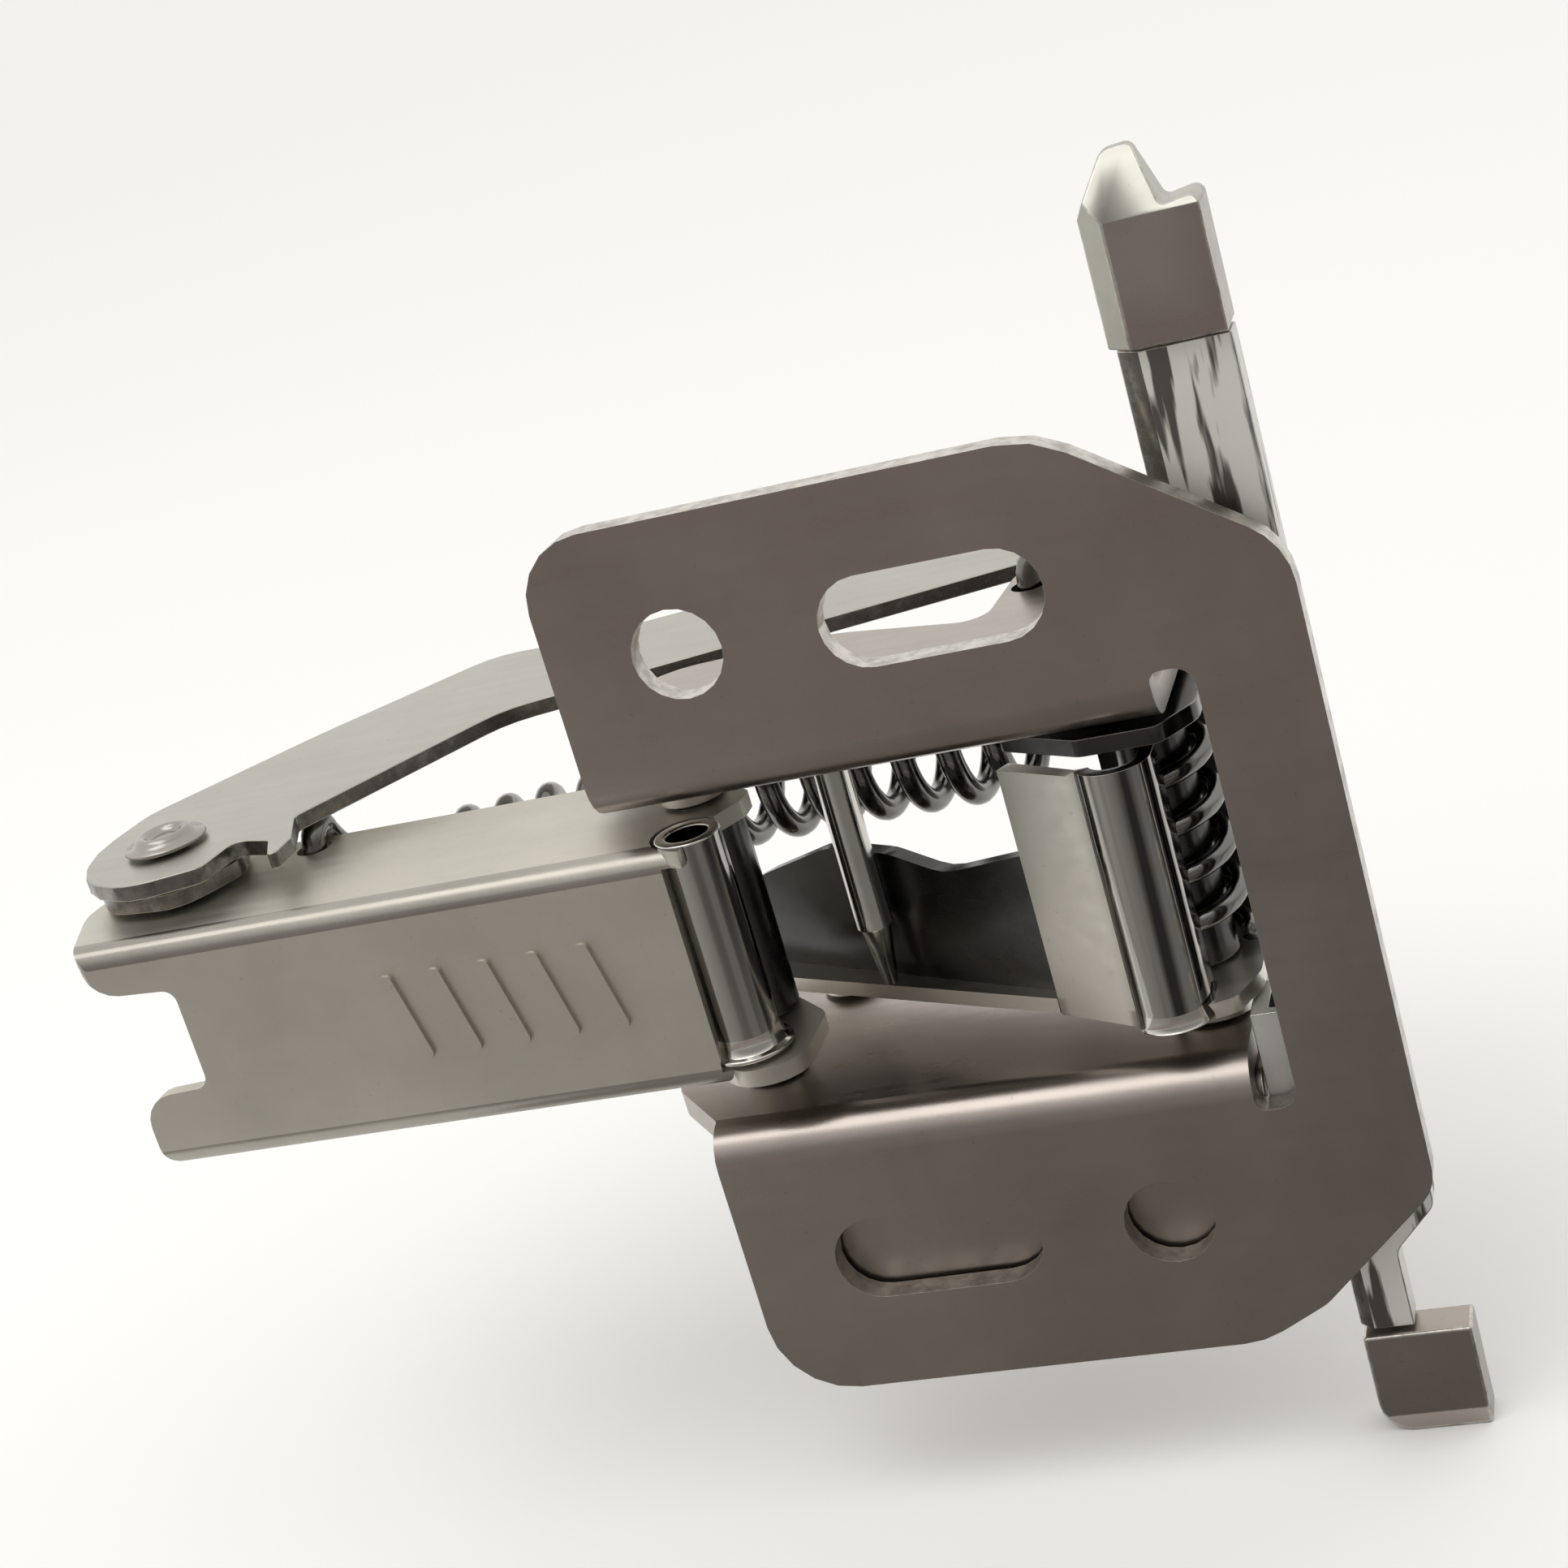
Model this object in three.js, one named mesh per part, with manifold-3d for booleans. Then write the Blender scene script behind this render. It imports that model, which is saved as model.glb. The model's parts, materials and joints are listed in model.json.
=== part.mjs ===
// A sprung lever latch on a slotted, C-shaped mounting plate. Millimetres, +Z up.
// The plate's front face lies in the plane Y = 0 and looks along -Y.
// X is measured from the plate's left edge, and the last line moves the whole part
// so that X = 0 falls on the middle of the plate's spine.
import * as THREE from "three";
import { mergeVertices } from "three/addons/utils/BufferGeometryUtils.js";
import Module from "manifold-3d";

const wasm = await Module();
wasm.setup();

// ---- Driving dimensions ----
const SHEET = 1.5; // mounting plate
const THIN = 1.0; // lever, arms and cam
const GAP = 0.2; // between pieces that touch
const RUN = 0.3; // radial clearance of every pin
const PLATE = { left: 0, lowerLeft: 0.6, right: 39.4, bottom: -26.6, top: 25.7 };
const SPINE = { inner: 33.4, middle: 36.4 };
const WALL = { inner: 9.7, right: 31.1, bend: 2.2 };
const HOLE_R = 2.5;
const SLOT_STRAIGHT = 7; // distance between the slot's two end arcs
const HOLES = { upper: [7.3, 18.3], lower: [25.0, -18.5] };
const SLOTS = { upper: [21.1, 18.1], lower: [11.8, -18.5] };
const LEVER = { left: -33.7, lowerLeft: -32.8, right: 2.8, bottom: -6.8, top: 7.6, depth: 12.4 };
const LEVER_AXIS = [3, 7.5];
const KNUCKLE = { at: [3.9, 2.4], radius: 1.9, spread: 0.6, bore: 1.2 };
const NOSE = { at: [27.7, 2.4], radius: 2.1, spread: 0.25, wall: 0.8 };
const CAM_AXIS = [28.9, 7.5];
const CAM = { bottom: -7.5, base: 0.9, cheekTop: 7.2, noseTop: 7.5, crankBottom: 8.1 };
const LINK = { bottom: 9.2, top: 10.2 };
const LEAF = { bottom: 7.9, top: 8.9 };
const LINK_FRONT = [-30.3, 8.4];
const LINK_REAR = [24.0, 36.0];
const LINK_PLAY = 0.6; // radial play at the rear pivot
const TENSION = { radius: 2.65, wire: 0.75, turns: 13.5, eye: 1.1, bow: 0.6 };
const TENSION_ENDS = { left: [-18, 19.6, 1.9], right: [19.6, 22, 2.4] }; // the coil's axis
const TORSION = { radius: 2.75, wire: 0.55, turns: 4.5, bottom: -5.7, top: 7 };
const BOLT = { left: 32.8, right: 38.7, front: 2.6, back: 4.6, top: 28.2, bottom: -28.2 };
const PIN_R = 1.2;
const PIN_HEAD_R = 2.2;
const RIVET_R = 1.1;
const ARC_STEPS = 5; // per quarter turn

// ---- Geometry helpers ----
function bare(geometry) {
  const copy = geometry.index ? geometry.toNonIndexed() : geometry.clone();
  copy.deleteAttribute("normal");
  copy.deleteAttribute("uv");
  return mergeVertices(copy, 1e-4);
}

function toSolid(geometry) {
  const merged = bare(geometry);
  return new wasm.Manifold(
    new wasm.Mesh({
      numProp: 3,
      vertProperties: merged.attributes.position.array,
      triVerts: new Uint32Array(merged.index.array),
    }),
  );
}

function toGeometry(solid) {
  const mesh = solid.getMesh();
  const geometry = new THREE.BufferGeometry();
  geometry.setAttribute("position", new THREE.BufferAttribute(mesh.vertProperties, 3));
  geometry.setIndex(new THREE.BufferAttribute(mesh.triVerts, 1));
  return geometry;
}

function join(...geometries) {
  return toGeometry(geometries.map(toSolid).reduce((all, next) => all.add(next)));
}

function cut(geometry, ...tools) {
  return toGeometry(tools.map(toSolid).reduce((all, tool) => all.subtract(tool), toSolid(geometry)));
}

function common(first, second) {
  return toGeometry(toSolid(first).intersect(toSolid(second)));
}

// A closed outline through corners [x, y, radius]; each radius is a tangent arc.
function outline(corners) {
  const shape = new THREE.Shape();
  const count = corners.length;
  corners.forEach(([x, y, radius = 0], i) => {
    const corner = new THREE.Vector2(x, y);
    const before = new THREE.Vector2(...corners[(i + count - 1) % count]).sub(corner).normalize();
    const after = new THREE.Vector2(...corners[(i + 1) % count]).sub(corner).normalize();
    const move = (point) => (i ? shape.lineTo(point.x, point.y) : shape.moveTo(point.x, point.y));
    if (!radius) {
      move(corner);
      return;
    }
    const half = Math.acos(THREE.MathUtils.clamp(before.dot(after), -1, 1)) / 2;
    const start = corner.clone().addScaledVector(before, radius / Math.tan(half));
    const middle = before.clone().add(after).normalize();
    const centre = corner.clone().addScaledVector(middle, radius / Math.sin(half));
    const turn = Math.PI - 2 * half;
    const steps = Math.max(2, Math.ceil((turn / (Math.PI / 2)) * ARC_STEPS));
    const side = Math.sign(before.x * after.y - before.y * after.x);
    move(start);
    for (let k = 1; k <= steps; k++) {
      const angle = (-side * turn * k) / steps;
      const point = start.clone().rotateAround(centre, angle);
      shape.lineTo(point.x, point.y);
    }
  });
  return shape;
}

function circle(x, y, radius, steps = 4 * ARC_STEPS) {
  const points = [];
  for (let k = 0; k < steps; k++) {
    const angle = (2 * Math.PI * k) / steps;
    points.push(new THREE.Vector2(x + radius * Math.cos(angle), y + radius * Math.sin(angle)));
  }
  return new THREE.Shape(points);
}

function slot(x, y, straight, radius) {
  const right = x + straight / 2 + radius;
  const left = x - straight / 2 - radius;
  const corner = radius * 0.999;
  return outline([
    [left, y - radius, corner],
    [right, y - radius, corner],
    [right, y + radius, corner],
    [left, y + radius, corner],
  ]);
}

function extrude(shape, depth) {
  return new THREE.ExtrudeGeometry(shape, { depth, bevelEnabled: false, curveSegments: ARC_STEPS });
}

// Drawn in X and Y, standing from z0 to z1.
function level(shape, z0, z1) {
  return extrude(shape, z1 - z0).translate(0, 0, z0);
}

// Drawn in X and Z, reaching from y0 back to y1.
function upright(shape, y0, y1) {
  return extrude(shape, y1 - y0)
    .rotateX(Math.PI / 2)
    .translate(0, y1, 0);
}

// Drawn in Y and Z, running from x0 to x1.
function lengthwise(shape, x0, x1) {
  const turn = new THREE.Matrix4().makeBasis(
    new THREE.Vector3(0, 1, 0),
    new THREE.Vector3(0, 0, 1),
    new THREE.Vector3(1, 0, 0),
  );
  return extrude(shape, x1 - x0)
    .applyMatrix4(turn)
    .translate(x0, 0, 0);
}

// A solid of revolution about a vertical line, from its [radius, height] profile.
function turned([x, y], profile) {
  const points = profile.map(([radius, height]) => new THREE.Vector2(radius, height));
  return new THREE.LatheGeometry(points, 4 * ARC_STEPS).rotateX(Math.PI / 2).translate(x, y, 0);
}

function washer([x, y], inner, outer, z0, z1) {
  const ring = circle(x, y, outer);
  ring.holes.push(circle(x, y, inner));
  return level(ring, z0, z1);
}

// An upright bar whose foot flares out by spread, to be cut hollow; grow widens all of it.
function flared(at, radius, spread, foot, top, grow = 0) {
  return turned(at, [
    [0, foot - grow],
    [radius + spread + grow, foot - grow],
    [radius + spread + grow, foot + 0.4],
    [radius + spread * 0.4 + grow, foot + 0.9],
    [radius + grow, foot + 1.8],
    [radius + grow, top],
    [0, top],
  ]);
}

// Round wire along a curve.
function wire(curve, radius, steps) {
  const ring = circle(0, 0, radius, 6);
  return new THREE.ExtrudeGeometry(ring, { steps, extrudePath: curve, bevelEnabled: false });
}

// ---- Finishes ----
function finish(color, roughness, metalness = 1) {
  return new THREE.MeshStandardMaterial({ color, roughness, metalness });
}
const NICKEL_PLATE = () => finish(0x8a8078, 0.38);
const NICKEL_LEVER = () => finish(0xa39c90, 0.42);
const NICKEL_LIGHT = () => finish(0xb8b2a6, 0.4);
const BRIGHT = () => finish(0xb4b2ac, 0.14);
const SPRING_STEEL = () => finish(0x77756f, 0.25);
const DARK_STEEL = () => finish(0x4c4a48, 0.3);

function named(name, geometry, material) {
  const mesh = new THREE.Mesh(geometry, material());
  mesh.name = name;
  return mesh;
}

function group(name, ...children) {
  const made = new THREE.Group();
  made.name = name;
  made.add(...children);
  return made;
}

// ---- Mounting plate ----
function plateFace() {
  const { left, lowerLeft, right, bottom, top } = PLATE;
  const bendTop = WALL.inner + WALL.bend;
  const relief = 12.6;
  return outline([
    [left, bendTop],
    [left, top, 3.8],
    [28.3, top, 6],
    [right, 17.9, 4],
    [right, -18.5, 2.5],
    [32.3, -24.7, 2.5],
    [28.5, bottom, 5],
    [lowerLeft, bottom, 4.5],
    [lowerLeft, -bendTop],
    [WALL.right, -bendTop],
    [WALL.right, -relief, 0.6],
    [SPINE.inner, -relief, 1.1],
    [SPINE.inner, relief, 1.1],
    [WALL.right, relief, 0.6],
    [WALL.right, bendTop],
  ]);
}

// The sheet's section where a wing turns back into its wall; side is 1 above, -1 below.
function bendSection(side, depth) {
  const low = side * WALL.inner;
  const high = side * (WALL.inner + SHEET);
  const reach = side * (WALL.inner + WALL.bend + 1);
  return outline([
    [0, reach],
    [0, low, WALL.bend],
    [depth, low],
    [depth, high],
    [SHEET, high, WALL.bend - SHEET],
    [SHEET, reach],
  ]);
}

function wall(side, plan) {
  const strip = lengthwise(bendSection(side, 30), -5, WALL.right);
  return common(strip, level(plan, -14, 14));
}

function upperWallPlan() {
  return outline([
    [PLATE.left, -0.5],
    [WALL.right, -0.5],
    [WALL.right, 27, 3],
    [19.5, 27, 1.5],
    [18.8, 18.6, 1.5],
    [9, 21.8, 5],
    [-3, 20.5, 4],
    [-3, 7, 2],
    [PLATE.left, 2.6, 0.6],
  ]);
}

function lowerWallPlan() {
  return outline([
    [PLATE.lowerLeft, -0.5],
    [WALL.right, -0.5],
    [WALL.right, 18.5, 3],
    [9, 21.8, 5],
    [-3, 20.5, 4],
    [-3, 6.8, 2],
    [PLATE.lowerLeft, 2, 0.6],
  ]);
}

const SPRING_EYE = [20.7, 23.8]; // in the upper wall's tab
const BACKING_RIVETS = [
  [5.5, 17.8],
  [20, 14.6],
];

function frontPlate() {
  const face = upright(plateFace(), 0, SHEET);
  const body = join(face, wall(1, upperWallPlan()), wall(-1, lowerWallPlan()));
  const through = (shape) => upright(shape, -1, SHEET + 1);
  const pinHole = ([x, y], z0, z1, radius) => level(circle(x, y, radius), z0, z1);
  const full = WALL.inner + SHEET + 0.1;
  return cut(
    body,
    ...Object.values(HOLES).map(([x, z]) => through(circle(x, z, HOLE_R))),
    ...Object.values(SLOTS).map(([x, z]) => through(slot(x, z, SLOT_STRAIGHT, HOLE_R))),
    pinHole(LEVER_AXIS, -full, full, PIN_R + RUN),
    pinHole(CAM_AXIS, -full, full, PIN_R + RUN),
    pinHole(SPRING_EYE, 0, full, TENSION.eye),
    ...BACKING_RIVETS.map((at) => pinHole(at, -full, 0, RIVET_R + RUN)),
  );
}

// An angle behind the lower wing, riveted under the lower wall.
function backingPlate() {
  const front = SHEET + RUN;
  const top = -(WALL.inner + SHEET + RUN);
  const section = outline([
    [front, top, 1.6],
    [21, top],
    [21, top - THIN],
    [front + THIN, top - THIN, 0.6],
    [front + THIN, -25],
    [front, -25],
  ]);
  const [left, right, bottom] = [3.5, 31.4, -25];
  const strip = lengthwise(section, left, right);
  const faceOutline = outline([
    [left, bottom, 3],
    [right, bottom, 3],
    [right, 0],
    [left, 0],
  ]);
  const rounded = common(strip, upright(faceOutline, 0, 22));
  const hole = (at, radius) => level(circle(...at, radius), top - THIN - 1, top + 1);
  const rivetHoles = BACKING_RIVETS.map((at) => hole(at, RIVET_R + RUN));
  const pinHeadRoom = [LEVER_AXIS, CAM_AXIS].map((at) => hole(at, PIN_HEAD_R + 0.5));
  return cut(rounded, ...rivetHoles, ...pinHeadRoom);
}

function backingRivet(at) {
  const above = -WALL.inner + GAP;
  const below = -(WALL.inner + SHEET + RUN + THIN) - GAP;
  return turned(at, [
    [0, below - 0.7],
    [1.5, below - 0.7],
    [2, below],
    [RIVET_R, below],
    [RIVET_R, above],
    [2, above],
    [1.6, above + 0.6],
    [0, above + 0.7],
  ]);
}

// ---- Fixed pins and spacers ----
// A pin across both walls, riveted over outside them.
function pin(at) {
  const face = WALL.inner + SHEET + GAP;
  const head = [
    [PIN_R, face],
    [PIN_HEAD_R, face],
    [PIN_HEAD_R - 0.4, face + 0.8],
    [0, face + 0.9],
  ];
  const foot = [...head].reverse().map(([radius, height]) => [radius, -height]);
  return turned(at, [...foot, ...head]);
}

function spacer(at, outer, z0, z1) {
  return washer(at, PIN_R + RUN, outer, z0, z1);
}

// A tube on the hinge pin, between the lever's flanges.
function leverSleeve() {
  return spacer(LEVER_AXIS, 2.4, LEVER.bottom + THIN + GAP, LEVER.top - THIN - GAP);
}

// ---- Lever: a channel with a forked end and a rolled knuckle ----
const LEVER_EYE = [-22.4, 10.8]; // holds the spring's hook, in the top flange
const BULGE = [4.8, 2.2, 2.6]; // round end of the lower flange: x, y, radius

function leverPlan() {
  const { left, bottom, top, depth } = LEVER;
  const [x, y, radius] = BULGE;
  const flange = outline([
    [left, 0, 0.8],
    [x, 0],
    [x + radius, y],
    [x + radius, 6, 1.5],
    [1.8, depth, 3],
    [left, depth, 4],
    [left - 2, 6, 3.5],
  ]);
  return join(level(flange, bottom, top), level(circle(...BULGE), bottom, top));
}

function leverSection() {
  const { bottom, top, depth } = LEVER;
  return outline([
    [-2, bottom],
    [depth + 1, bottom],
    [depth + 1, bottom + THIN],
    [THIN, bottom + THIN, 0.5],
    [THIN, top - THIN, 0.5],
    [depth + 1, top - THIN],
    [depth + 1, top],
    [-2, top],
  ]);
}

// The front face is rounded into both flanges, all along the lever but not at the knuckle.
function leverFrontRounding() {
  const { left, bottom, top, depth } = LEVER;
  const section = outline([
    [0, bottom, 1.2],
    [depth + 1, bottom],
    [depth + 1, top],
    [0, top, 1.2],
  ]);
  return join(lengthwise(section, left - 3, 9), level(circle(...BULGE), bottom, top));
}

// The notch between the two prongs, with the prongs' tips rounded.
function forkNotch() {
  const { left, lowerLeft, bottom, top } = LEVER;
  return outline([
    [left - 3, top - THIN],
    [left - 3, bottom + THIN],
    [lowerLeft, bottom + THIN],
    [lowerLeft, -2.1, 2],
    [-28.2, -1.9, 0.8],
    [-28.2, 4.4, 0.8],
    [left, 4.7, 2.2],
    [left, top - THIN],
  ]);
}

// The lower flange is shorter than the upper one.
function leverSide() {
  const { left, lowerLeft, bottom, top } = LEVER;
  return outline([
    [lowerLeft, bottom, 1.5],
    [9, bottom],
    [9, top],
    [left - 3, top],
    [left - 3, 0],
    [lowerLeft, 0],
  ]);
}

// What the upper flange lacks beside the knuckle, back to the material round the hinge pin.
function upperFlangeEnd() {
  return outline([
    [KNUCKLE.at[0], -2],
    [9, -2],
    [9, 12],
    [6.2, 12],
    [6.2, 6, 1],
    [KNUCKLE.at[0] + 0.8, 3.6, 0.5],
  ]);
}

// A generic pattern of slanted ribs on the front face.
function ribs() {
  const shapes = [];
  for (let x = -15.6; x < -3; x += 3) {
    shapes.push(
      outline([
        [x, 3.2, 0.4],
        [x + 0.9, 3.2, 0.4],
        [x + 2.1, -2.2, 0.4],
        [x + 1.2, -2.2, 0.4],
      ]),
    );
  }
  return shapes.map((shape) => upright(shape, -0.25, THIN / 2));
}

function leverChannel() {
  const { left, right, bottom, top, depth } = LEVER;
  const channel = [leverPlan(), leverFrontRounding(), upright(leverSide(), -2, depth + 1)].reduce(
    common,
    lengthwise(leverSection(), left - 3, 9),
  );
  const knuckleRoom = outline([
    [right, bottom + THIN],
    [9, bottom + THIN],
    [9, top - THIN],
    [right, top - THIN],
  ]);
  const knuckleSide = flared(KNUCKLE.at, KNUCKLE.radius, KNUCKLE.spread, bottom + THIN + GAP, top + 1, GAP);
  const upperEnd = level(upperFlangeEnd(), 0, top + 1);
  const pinHole = level(circle(...LEVER_AXIS, PIN_R + RUN), bottom - 1, top + 1);
  const rivetHole = level(circle(...LINK_FRONT, PIN_R + RUN), 0, top + 1);
  const springEye = level(circle(...LEVER_EYE, TENSION.eye), 0, top + 1);
  const cleared = cut(
    channel,
    upright(forkNotch(), -1, THIN + 0.6),
    upright(knuckleRoom, -3, THIN + 0.5),
    pinHole,
    knuckleSide,
    upperEnd,
    rivetHole,
    springEye,
  );
  return join(cleared, ...ribs());
}

// An open tube with a flared foot on the lower flange.
function leverKnuckle() {
  const { bottom, top } = LEVER;
  const bar = flared(KNUCKLE.at, KNUCKLE.radius, KNUCKLE.spread, bottom + THIN + GAP, top);
  return cut(bar, level(circle(...KNUCKLE.at, KNUCKLE.bore), bottom, top + 1));
}

// ---- Link: a cranked arm from the lever's tip to the cam's crank ----
function linkPlan() {
  return outline([
    [-35.9, 9.4, 8],
    [-34.2, 4, 6],
    [-30, 2.4, 4],
    [-25.9, 3.6, 1],
    [-25.2, 7.2, 0.8],
    [-22.6, 6.2, 0.5],
    [-21.2, 2.8, 0.3],
    [-21, 6, 0.3],
    [-22.3, 9.6, 0.6],
    [-17.9, 15.9, 6],
    [-13.2, 22.6, 5],
    [20, 32.5, 8],
    [28, 34, 3.6],
    [26, 40.5, 4],
    [18, 42, 8],
    [-13, 34.6, 8],
    [-18, 34.8, 4],
    [-27, 25, 30],
    [-34.8, 15, 4],
  ]);
}

function linkArm() {
  const { bottom, top } = LINK;
  return cut(
    level(linkPlan(), bottom, top),
    level(circle(...LINK_FRONT, PIN_R + RUN), bottom - 1, top + 1),
    level(circle(...LINK_REAR, PIN_R + LINK_PLAY), bottom - 1, top + 1),
  );
}

// The lower leaf of the arm's end, between the arm and the lever.
function linkLeaf() {
  const leaf = outline([
    [-35.2, 7.4, 3],
    [-33, 4.3, 3],
    [-28, 3.4, 2.5],
    [-25.4, 7.6, 2],
    [-27, 12, 3],
    [-33.6, 13.4, 4],
  ]);
  const { bottom, top } = LEAF;
  return cut(level(leaf, bottom, top), level(circle(...LINK_FRONT, PIN_R + RUN), bottom - 1, top + 1));
}

function domeRivet(at, from, under, over, radius) {
  return turned(at, [
    [0, from - 0.6],
    [1.7, from - 0.6],
    [2, from],
    [PIN_R, from],
    [PIN_R, under],
    [radius, under],
    [radius, under + 0.3],
    [radius * 0.8, over - 0.15],
    [0, over],
  ]);
}

// ---- Cam: base, web, cheek, nose and crank, all turning on one pin ----
const WEB_ANGLE = THREE.MathUtils.degToRad(-28.5);
const WEB_START = [0.9, 16.6];
const WEB_LENGTH = 22.8;
const STUD = [10.3, 10];
const STUD_R = 1.05;
const STUD_NECK = 0.4;

function camBasePlan() {
  const [x, y] = CAM_AXIS;
  return outline([
    [-0.4, 15.1, 0.8],
    [21.3, 4.6],
    [25.9, 1.9],
    [27, 0.8],
    [29.2, 1],
    [31.2, 1.7, 1],
    [x + 3.4, 4.5, 2],
    [x + 3.4, y + 4.7, 1],
    [24, y + 4.7, 3],
    [1.2, 19.8, 0.8],
  ]);
}

function camWeb() {
  const foot = CAM.bottom + CAM.base / 2;
  const edge = outline([
    [0, foot],
    [0, -1.6, 1],
    [2.4, -0.6, 4],
    [7.8, 1.3, 4],
    [12.5, 1.2, 4],
    [16.5, 0.2, 4],
    [WEB_LENGTH, 1.7],
    [WEB_LENGTH, foot],
  ]);
  return upright(edge, 0, THIN)
    .rotateZ(WEB_ANGLE)
    .translate(...WEB_START, 0);
}

// The upright behind the cam's spring.
function camBack() {
  const [x, y] = CAM_AXIS;
  const face = outline([
    [25, CAM.bottom + CAM.base / 2],
    [x + 3.4, CAM.bottom + CAM.base / 2],
    [x + 3.4, CAM.crankBottom - GAP, 2],
    [25, CAM.crankBottom - GAP, 2],
  ]);
  return upright(face, y + 3.8, y + 4.7);
}

function camBase() {
  const { bottom, base } = CAM;
  const plate = level(camBasePlan(), bottom, bottom + base);
  const body = join(plate, camWeb(), camBack());
  return cut(
    body,
    level(camStripPlan(GAP), bottom - 1, CAM.noseTop),
    camStripFoot(GAP),
    level(circle(...CAM_AXIS, PIN_R + RUN), bottom - 1, bottom + 2),
  );
}

function camStud() {
  const foot = CAM.bottom + CAM.base + GAP;
  const top = 7.6;
  return turned(STUD, [
    [0, foot],
    [STUD_NECK, foot],
    [STUD_R - 0.1, foot + 3.6],
    [STUD_R, foot + 3.7],
    [STUD_R, top - 0.3],
    [STUD_R - 0.3, top],
    [0, top],
  ]);
}

const CHEEK = { start: [21, 4.6], angle: THREE.MathUtils.degToRad(-33) };

// The bent strip's plan: a flat cheek that runs into a U with its round front towards -Y.
function camStripPlan(grow = 0) {
  const { start, angle } = CHEEK;
  const [x, y] = NOSE.at;
  const along = new THREE.Vector2(1, 0).rotateAround(new THREE.Vector2(), angle);
  const back = new THREE.Vector2(0, 1).rotateAround(new THREE.Vector2(), angle);
  const front = new THREE.Vector2(...start).addScaledVector(along, -grow).addScaledVector(back, -grow);
  const rear = front.clone().addScaledVector(back, THIN + 2 * grow);
  const outer = NOSE.radius + grow;
  const inner = NOSE.radius - NOSE.wall - grow;
  const legEnd = 3.9 + grow;
  const join = THREE.MathUtils.degToRad(204);
  const innerJoin = THREE.MathUtils.degToRad(190);
  const plan = new THREE.Shape();
  plan.moveTo(rear.x, rear.y);
  plan.lineTo(front.x, front.y);
  plan.absarc(x, y, outer, join, 2 * Math.PI, false);
  plan.lineTo(x + outer, legEnd);
  plan.lineTo(x + inner, legEnd);
  plan.absarc(x, y, inner, 2 * Math.PI, innerJoin, true);
  return plan;
}

// The flare along the front of the nose's foot.
function camStripFoot(grow = 0) {
  const { bottom } = CAM;
  const [x, y] = NOSE.at;
  const front = outline([
    [x - 4, y - 4],
    [x + 4, y - 4],
    [x + 4, y + grow],
    [x - 4, y + grow],
  ]);
  const whole = flared(NOSE.at, NOSE.radius, NOSE.spread, bottom, bottom + 3, grow);
  return common(whole, level(front, bottom - 1, bottom + 4));
}

function camStrip() {
  const { bottom, cheekTop, noseTop } = CAM;
  const inner = NOSE.radius - NOSE.wall;
  const overCheek = outline([
    [CHEEK.start[0] - 1, 0],
    [NOSE.at[0] - NOSE.radius, 0],
    [NOSE.at[0] - NOSE.radius, 7],
    [CHEEK.start[0] - 1, 7],
  ]);
  const hollow = cut(camStripFoot(), level(circle(...NOSE.at, inner), bottom - 1, bottom + 4));
  const strip = join(level(camStripPlan(), bottom, noseTop), hollow);
  return cut(strip, level(overCheek, cheekTop, noseTop + 1));
}

function camSleeve() {
  const { bottom, base, crankBottom } = CAM;
  return washer(CAM_AXIS, PIN_R + RUN, 2, bottom + base + GAP, crankBottom - GAP);
}

// Covers the strip's top and reaches back to the link.
function camCrank() {
  const [x, y] = CAM_AXIS;
  const [rearX, rearY] = LINK_REAR;
  const arm = outline([
    [21.3, 4.9, 0.6],
    [26.2, 1.8, 1],
    [x + 1.6, 1.8, 1],
    [x + 3.4, 4.5, 2],
    [x + 3.4, 14, 5],
    [rearX + 3.6, rearY + 3.5, 3.4],
    [rearX - 3.6, rearY + 3.5, 3.4],
    [x - 4.4, 12, 5],
    [22.6, 7.4, 0.6],
  ]);
  const bottom = CAM.crankBottom;
  const top = bottom + THIN;
  const hole = (at) => level(circle(...at, PIN_R + RUN), bottom - 1, top + 1);
  return cut(level(arm, bottom, top), hole(CAM_AXIS), hole(LINK_REAR));
}

// ---- Springs ----
const STEPS_PER_TURN = 14;

class Helix extends THREE.Curve {
  getPoint(t) {
    const [x, y] = CAM_AXIS;
    const { radius, turns, bottom, top } = TORSION;
    const angle = 2 * Math.PI * turns * t;
    const height = bottom + (top - bottom) * t;
    return new THREE.Vector3(x + radius * Math.cos(angle), y + radius * Math.sin(angle), height);
  }
}

function camSpring() {
  return wire(new Helix(), TORSION.wire, TORSION.turns * STEPS_PER_TURN);
}

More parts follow.
